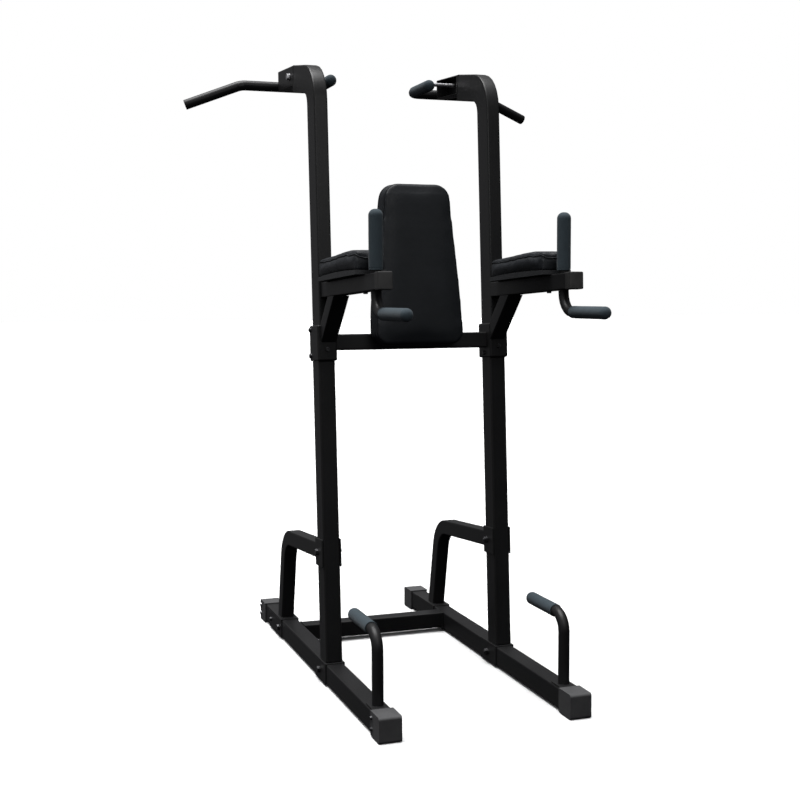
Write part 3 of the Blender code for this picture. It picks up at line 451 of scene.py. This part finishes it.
def evened(mesh, shift, rounds):
    """Averages each point's shift with its neighbours', which takes out the finer wrinkles."""
    edges = np.empty(len(mesh.edges) * 2, dtype=np.int32)
    mesh.edges.foreach_get("vertices", edges)
    first, second = edges.reshape(-1, 2).T
    count = np.bincount(edges, minlength=len(shift))[:, None]
    for _ in range(rounds):
        total = np.zeros_like(shift)
        np.add.at(total, first, shift[second])
        np.add.at(total, second, shift[first])
        shift = (shift + total / count) / 2
    return shift


def remeshed(name, source, voxel, shrink):
    """A copy of a CAD cushion in even faces, shrunk about its middle."""
    obj = bpy.data.objects.new(name, source.data.copy())
    bpy.context.scene.collection.objects.link(obj)
    bm = bmesh.new()
    bm.from_mesh(obj.data)
    bmesh.ops.remove_doubles(bm, verts=bm.verts, dist=WELD_REACH)
    centre = sum((v.co for v in bm.verts), Vector()) / len(bm.verts)
    for v in bm.verts:
        v.co = centre + (v.co - centre) * shrink
    bm.to_mesh(obj.data)
    bm.free()
    remesh = obj.modifiers.new("Remesh", "REMESH")
    remesh.mode = "VOXEL"
    remesh.voxel_size = voxel
    bake(obj)
    smooth = obj.modifiers.new("Smooth", "SMOOTH")
    smooth.iterations = SMOOTH_ROUNDS
    bake(obj)
    return obj


def blow_up(obj, held):
    """Swells a cushion as cloth. Points for which held() is true stay where they are."""
    group = obj.vertex_groups.new(name="held")
    group.add([v.index for v in obj.data.vertices if held(v.co)], 1.0, "REPLACE")
    cloth = obj.modifiers.new("Cloth", "CLOTH")
    cloth.settings.use_pressure = True
    cloth.settings.uniform_pressure_force = CLOTH_PRESSURE
    cloth.settings.effector_weights.gravity = 0.0
    cloth.settings.vertex_group_mass = group.name
    cloth.settings.tension_stiffness = CLOTH_TENSION
    cloth.settings.bending_stiffness = CLOTH_BENDING
    scene = bpy.context.scene
    for number in range(1, CLOTH_FRAMES + 1):
        scene.frame_set(number)
    bake(obj)
    scene.frame_set(1)


def puffed(name, source, voxel, shrink, cap, held, calm):
    """A CAD cushion blown up, no point of it by more than cap."""
    obj = remeshed(name, source, voxel, shrink)
    rest = coordinates(obj)
    blow_up(obj, held)
    shift = coordinates(obj) - rest
    length = np.linalg.norm(shift, axis=1, keepdims=True)
    shift *= np.minimum(1.0, cap / np.maximum(length, 1e-9))
    move_points(obj, rest + evened(obj.data, shift, calm))
    return obj


def bake(obj):
    """Replaces an object by its evaluated mesh."""
    bpy.context.view_layer.update()
    graph = bpy.context.evaluated_depsgraph_get()
    mesh = bpy.data.meshes.new_from_object(obj.evaluated_get(graph))
    obj.modifiers.clear()
    old = obj.data
    obj.data = mesh
    bpy.data.meshes.remove(old)


def tree_of(obj):
    bm = bmesh.new()
    bm.from_mesh(obj.data)
    tree = BVHTree.FromBMesh(bm)
    bm.free()
    return tree


def seam_on(obj, name, path, thickness, sink):
    """Pulls the cover in along a closed path and lays a welt of piping in the groove."""
    tree = tree_of(obj)
    found = [tree.find_nearest(point) for point in path]
    line = np.array([place for place, _, _, _ in found])
    co = coordinates(obj)
    normals = np.array([v.normal for v in obj.data.vertices])
    near = np.full(len(co), np.inf)
    for chunk in np.array_split(line, max(1, len(line) // SEAM_CHUNK)):
        gap = np.linalg.norm(co[:, None, :] - chunk[None, :, :], axis=2).min(axis=1)
        near = np.minimum(near, gap)
    groove = sink * np.exp(-(near / SEAM_WIDTH) ** 2)
    move_points(obj, co - normals * groove[:, None])
    lift = thickness * PIPING_LIFT - sink
    piping(name, [place + normal * lift for place, normal, _, _ in found], thickness)


def piping(name, points, thickness):
    """A closed round welt of vinyl through points."""
    curve = bpy.data.curves.new(name, "CURVE")
    curve.dimensions = "3D"
    curve.bevel_depth = thickness / 2
    curve.bevel_resolution = 2
    spline = curve.splines.new("POLY")
    spline.points.add(len(points) - 1)
    for held, point in zip(spline.points, points):
        held.co = (*point, 1.0)
    spline.use_cyclic_u = True
    holder = bpy.data.objects.new(name, curve)
    bpy.context.scene.collection.objects.link(holder)
    bpy.context.view_layer.update()
    graph = bpy.context.evaluated_depsgraph_get()
    mesh = bpy.data.meshes.new_from_object(holder.evaluated_get(graph))
    bpy.data.objects.remove(holder, do_unlink=True)
    bm = bmesh.new()
    bm.from_mesh(mesh)
    bmesh.ops.remove_doubles(bm, verts=bm.verts, dist=1e-6)
    bpy.data.meshes.remove(mesh)
    new_piece(name, bm, "pad_vinyl")


def cover(obj, node):
    """Subdivides a padded piece, gives it its vinyl and puts it in its node's place."""
    divide = obj.modifiers.new("Divide", "SUBSURF")
    divide.levels = divide.render_levels = 1
    bake(obj)
    obj.data.materials.clear()
    obj.data.materials.append(SLOT_MATERIALS["pad_vinyl"])
    obj.data.shade_smooth()
    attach(obj, "root")
    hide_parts(node)


def rounded_path(corners, radii):
    """Points in a plane along a closed outline with round corners."""
    points = []
    for i, corner in enumerate(corners):
        corner = Vector(corner)
        back = (Vector(corners[i - 1]) - corner).normalized()
        ahead = (Vector(corners[(i + 1) % len(corners)]) - corner).normalized()
        half = back.angle(ahead) / 2
        r = radii[i]
        centre = corner + (back + ahead).normalized() * (r / math.sin(half))
        first = corner + back * (r / math.tan(half)) - centre
        last = corner + ahead * (r / math.tan(half)) - centre
        sweep = first.angle_signed(last)
        for step in range(CORNER_STEPS + 1):
            turned = first.copy()
            turned.rotate(Matrix.Rotation(-sweep * step / CORNER_STEPS, 2))
            points.append(centre + turned)
    dense = []
    for a, b in zip(points, points[1:] + points[:1]):
        pieces = max(1, int((b - a).length / PATH_SPACING))
        dense += [a.lerp(b, i / pieces) for i in range(pieces)]
    return dense


def bow(pad, low, high):
    """Widens the back pad between its lower and upper edges, most in its lower half."""
    local = PAD_FRAME.inverted()
    for v in pad.data.vertices:
        point = local @ v.co
        share = min(1.0, max(0.0, (point.z - low) / (high - low)))
        point.x *= 1 + PAD_BOW * math.sin(math.pi * share ** PAD_BOW_LOW)
        v.co = PAD_FRAME @ point


def back_pad():
    source = NODES["back_pad"]
    local = PAD_FRAME.inverted()
    points = [local @ v.co for v in source.data.vertices]
    front, rear = min(p.y for p in points), max(p.y for p in points)
    low, high = min(p.z for p in points), max(p.z for p in points)
    wide = max(p.x for p in points)
    narrow = max(p.x for p in points if p.z > high - PAD_TOP_ZONE)

    def held(point):
        return (local @ point).y > rear - PAD_HELD

    pad = puffed("back_cushion", source, PAD_VOXEL, 1.0, PAD_SWELL, held, PAD_CALM)
    bow(pad, low, high)
    cover(pad, "back_pad")
    corners = [(wide, low), (narrow, high), (-narrow, high), (-wide, low)]
    outline = rounded_path(corners, PAD_CORNERS)
    for label, depth in (("front", front + PAD_SEAM_FRONT), ("rear", rear - PAD_SEAM_REAR)):
        path = [PAD_FRAME @ Vector((p.x, depth, p.y)) for p in outline]
        seam_on(pad, f"back_cushion_{label}_piping", path, PAD_PIPING, PAD_GROOVE)


def elbow_pad(side):
    node = f"elbow_pad_{side}"
    source = NODES[node]
    low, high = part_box(node)
    rear_z = min(v.co.z for v in source.data.vertices if v.co.y > high.y - ELBOW_REAR_ZONE)

    def held(point):
        return point.z < rear_z + (high.y - point.y) * math.tan(ARM_RISE) + ELBOW_HELD

    pad = puffed(f"elbow_cushion_{side}", source, ELBOW_VOXEL, ELBOW_SHRINK, ELBOW_SWELL, held,
                 ELBOW_CALM)
    cover(pad, node)
    tree = tree_of(pad)
    corners = [(high.x, low.y), (high.x, high.y), (low.x, high.y), (low.x, low.y)]
    centre = (low + high) / 2
    path = []
    for p in rounded_path(corners, (ELBOW_CORNER,) * 4):
        inward = [mid + (edge - mid) * share for mid, edge, share in zip(centre.xy, p, ELBOW_PROBE)]
        above = Vector((*inward, high.z + ELBOW_PROBE_ABOVE))
        top, _, _, _ = tree.ray_cast(above, Vector((0, 0, -1)))
        path.append(Vector((p.x, p.y, top.z - ELBOW_SEAM_DROP)))
    seam_on(pad, f"elbow_cushion_piping_{side}", path, ELBOW_PIPING, ELBOW_GROOVE)


# ---------------------------------------------------------------- fasteners

FRAME_BOLT = 0.013                  # nominal size of the frame's hexagons
FOOT_BOLT = 0.011
WASHER_THICK = 0.0016
BOLT_SINK = 0.0001                  # of a head into its washer
JOINT_BOLTS = (("upper", 0.031, 1.192), ("lower", 0.027, 1.104))    # y and z on the outer side
JOINT_INNER_BOLT = (-0.008, 1.105)  # y and z on the inner side
JOINT_FRONT = 0.047 + 0.0048        # half the upright's depth and the joint's wall
JOINT_FRONT_UP = 1.050              # along the upright
ARM_BOLT_Y = -0.465
FOOT_BOLT_FROM_REAR = 0.014
FOOT_BOLTS = (("upper", 0.060), ("lower", 0.026))
FOOT_BOLT_SLOTS = {"front": "dark_bolt", "rear": "zinc"}


def hex_head(name, at, way, size, slot):
    """A chamfered hexagon head on a washer, whose underside is at a point of the surface."""
    bm = bmesh.new()
    place = Matrix.Translation(at) @ facing(way)
    bmesh.ops.create_cone(bm, cap_ends=True, segments=32, radius1=size * 0.62, radius2=size * 0.60,
                          depth=WASHER_THICK,
                          matrix=place @ Matrix.Translation((0, 0, WASHER_THICK / 2)))
    tall = size * 0.36
    lift = WASHER_THICK + tall / 2 - BOLT_SINK
    head = bmesh.ops.create_cone(bm, cap_ends=True, segments=6, radius1=size * 0.56,
                                 radius2=size * 0.56, depth=tall,
                                 matrix=place @ Matrix.Translation((0, 0, lift)))
    back = place.inverted()
    top = [e for e in {e for v in head["verts"] for e in v.link_edges}
           if all((back @ v.co).z > WASHER_THICK + tall * 0.9 for v in e.verts)]
    bmesh.ops.bevel(bm, geom=top, offset=size * 0.07, segments=2, affect="EDGES")
    piece = new_piece(name, bm, slot)
    piece.data.set_sharp_from_angle(angle=EDGE_ANGLE)


def side_faces(node, out):
    """Where a node's outer and inner sides are across the tower."""
    low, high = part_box(node)
    return (high.x, low.x) if out.x > 0 else (low.x, high.x)


def joint_bolts(side, out):
    node = f"upright_joint_{side}"
    outer, inner = side_faces(node, out)
    for label, y, z in JOINT_BOLTS:
        hex_head(f"joint_{label}_bolt_{side}", Vector((outer, y, z)), out, FRAME_BOLT, "dark_bolt")
    forward = Vector((0, -math.cos(LEAN), math.sin(LEAN)))
    front = PAD_FRAME @ Vector((middle(node).x, -JOINT_FRONT, JOINT_FRONT_UP))
    hex_head(f"joint_front_bolt_{side}", front, forward, FRAME_BOLT, "dark_bolt")
    hex_head(f"joint_inner_bolt_{side}", Vector((inner, *JOINT_INNER_BOLT)), -out, FRAME_BOLT, "dark_bolt")


def arm_bolt(side):
    arm = f"arm_beam_{side}"
    low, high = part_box(arm)
    under = low.z + (high.y - ARM_BOLT_Y) * math.tan(ARM_RISE)
    at = Vector((middle(arm).x, ARM_BOLT_Y, under))
    hex_head(f"arm_pad_bolt_{side}", at, Vector((0, 0, -1)), FRAME_BOLT, "dark_bolt")


def brace_saddle_bolt(side, out):
    """The bolt in the brace saddle's skirt that mirrors the CAD one about the saddle's middle."""
    saddle = f"brace_saddle_{side}"
    skirt, _ = side_faces(saddle, out)
    through = middle(f"brace_saddle_bolt_{side}")
    at = Vector((skirt, 2 * middle(saddle).y - through.y, through.z))
    hex_head(f"brace_saddle_bolt_ahead_{side}", at, out, FRAME_BOLT, "dark_bolt")


def foot_bolts(side, out):
    for which, slot in FOOT_BOLT_SLOTS.items():
        foot = f"foot_{which}_{side}"
        outer, _ = side_faces(foot, out)
        _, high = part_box(foot)
        for label, z in FOOT_BOLTS:
            at = Vector((outer, high.y - FOOT_BOLT_FROM_REAR, z))
            hex_head(f"{foot}_{label}_bolt", at, out, FOOT_BOLT, slot)


def fasteners():
    for side, sign in (("left", -1), ("right", 1)):
        out = Vector((sign, 0, 0))
        joint_bolts(side, out)
        arm_bolt(side)
        brace_saddle_bolt(side, out)
        foot_bolts(side, out)


# ---------------------------------------------------------------- stage

FLOOR_REACH = 60.0
SKY_DIRECTION = Vector((0.12, -0.06, -1.0))
SKY_POWER = 5.0
SKY_ANGLE = math.radians(45)
SHADE, SHINE = (0.006, 0.006, 0.007, 1.0), (0.34, 0.34, 0.35, 1.0)  # the studio's darkest and brightest


def area_light(name, at, target, size, power):
    light = bpy.data.lights.new(name, "AREA")
    light.shape = "RECTANGLE"
    light.size, light.size_y = size
    light.energy = power
    obj = bpy.data.objects.new(name, light)
    obj.location = at
    obj.rotation_mode = "QUATERNION"
    obj.rotation_quaternion = (Vector(target) - Vector(at)).to_track_quat("-Z", "Y")
    bpy.context.scene.collection.objects.link(obj)


def floor():
    """A pale floor that doesn't light the tower from below."""
    bm = bmesh.new()
    bmesh.ops.create_grid(bm, x_segments=1, y_segments=1, size=FLOOR_REACH)
    mesh = bpy.data.meshes.new("floor")
    bm.to_mesh(mesh)
    bm.free()
    g = Graph("floor_paint")
    cloud = g.noise(0.8, 2.0)
    g.finish(g.ramp(cloud, (0.87, 0.87, 0.87), (0.90, 0.90, 0.90)), g.ramp(cloud, 0.85, 0.95),
             g.bump(cloud, 0.0002, 0.1), Specular_IOR_Level=0.1)
    mesh.materials.append(g.material)
    obj = bpy.data.objects.new("floor", mesh)
    bpy.context.scene.collection.objects.link(obj)
    obj.visible_diffuse = False
    obj.visible_glossy = False


def surroundings():
    """Light from above, a little from the left; plain white to the camera."""
    world = bpy.data.worlds.new("studio")
    world.use_nodes = True
    tree = world.node_tree
    place = tree.nodes.new("ShaderNodeTexCoord")
    toward = tree.nodes.new("ShaderNodeVectorMath")
    toward.operation = "DOT_PRODUCT"
    toward.inputs[1].default_value = BRIGHT_SIDE
    ramp = tree.nodes.new("ShaderNodeValToRGB")
    dark, bright = ramp.color_ramp.elements
    dark.position, bright.position = 0.0, 1.0
    dark.color, bright.color = SHADE, SHINE
    spread = tree.nodes.new("ShaderNodeMapRange")
    spread.inputs["From Min"].default_value = -0.25
    spread.inputs["From Max"].default_value = 0.95
    path = tree.nodes.new("ShaderNodeLightPath")
    seen = tree.nodes.new("ShaderNodeMix")
    seen.data_type = "RGBA"
    seen.inputs[7].default_value = (1.0, 1.0, 1.0, 1.0)
    link = tree.links.new
    link(place.outputs["Generated"], toward.inputs[0])
    link(toward.outputs["Value"], spread.inputs["Value"])
    link(spread.outputs["Result"], ramp.inputs["Fac"])
    link(path.outputs["Is Camera Ray"], seen.inputs[0])
    link(ramp.outputs["Color"], seen.inputs[6])
    link(seen.outputs[2], tree.nodes["Background"].inputs["Color"])
    bpy.context.scene.world = world


def sun():
    """A broad soft light straight from above."""
    light = bpy.data.lights.new("sky_panel", "SUN")
    light.energy = SKY_POWER
    light.angle = SKY_ANGLE
    obj = bpy.data.objects.new("sky_panel", light)
    obj.rotation_mode = "QUATERNION"
    obj.rotation_quaternion = SKY_DIRECTION.to_track_quat("-Z", "Y")
    bpy.context.scene.collection.objects.link(obj)


def studio():
    floor()
    surroundings()
    sun()
    area_light("left_softbox", (-3.2, -1.6, 3.2), (0, 0, 1.8), (1.2, 2.0), 5)
    area_light("front_softbox", (-0.1, -3.7, 2.9), (0, 0, 1.8), (1.8, 1.0), 20)
    bpy.context.scene.view_settings.view_transform = "Standard"


def camera():
    a, e, r = CAMERA_YAW, CAMERA_DOWN, CAMERA_ROLL
    forward = Vector((-math.sin(a) * math.cos(e), math.cos(a) * math.cos(e), -math.sin(e)))
    right = Vector((math.cos(a), math.sin(a), 0))
    up = right.cross(forward)
    turned_right = right * math.cos(r) + up * math.sin(r)
    turned_up = up * math.cos(r) - right * math.sin(r)
    lens = bpy.data.cameras.new("photo_camera")
    lens.sensor_width = 36.0
    lens.lens = CAMERA_LENS
    obj = bpy.data.objects.new("photo_camera", lens)
    obj.matrix_world = Matrix.Translation(CAMERA_AT) @ Matrix(
        (turned_right, turned_up, -forward)).transposed().to_4x4()
    bpy.context.scene.collection.objects.link(obj)
    bpy.context.scene.camera = obj


dress_cad_nodes()
for each_side in SIDES:
    for each_kind in GRIPS:
        foam_grip(each_kind, each_side)
    elbow_pad(each_side)
back_pad()
fasteners()
studio()
camera()
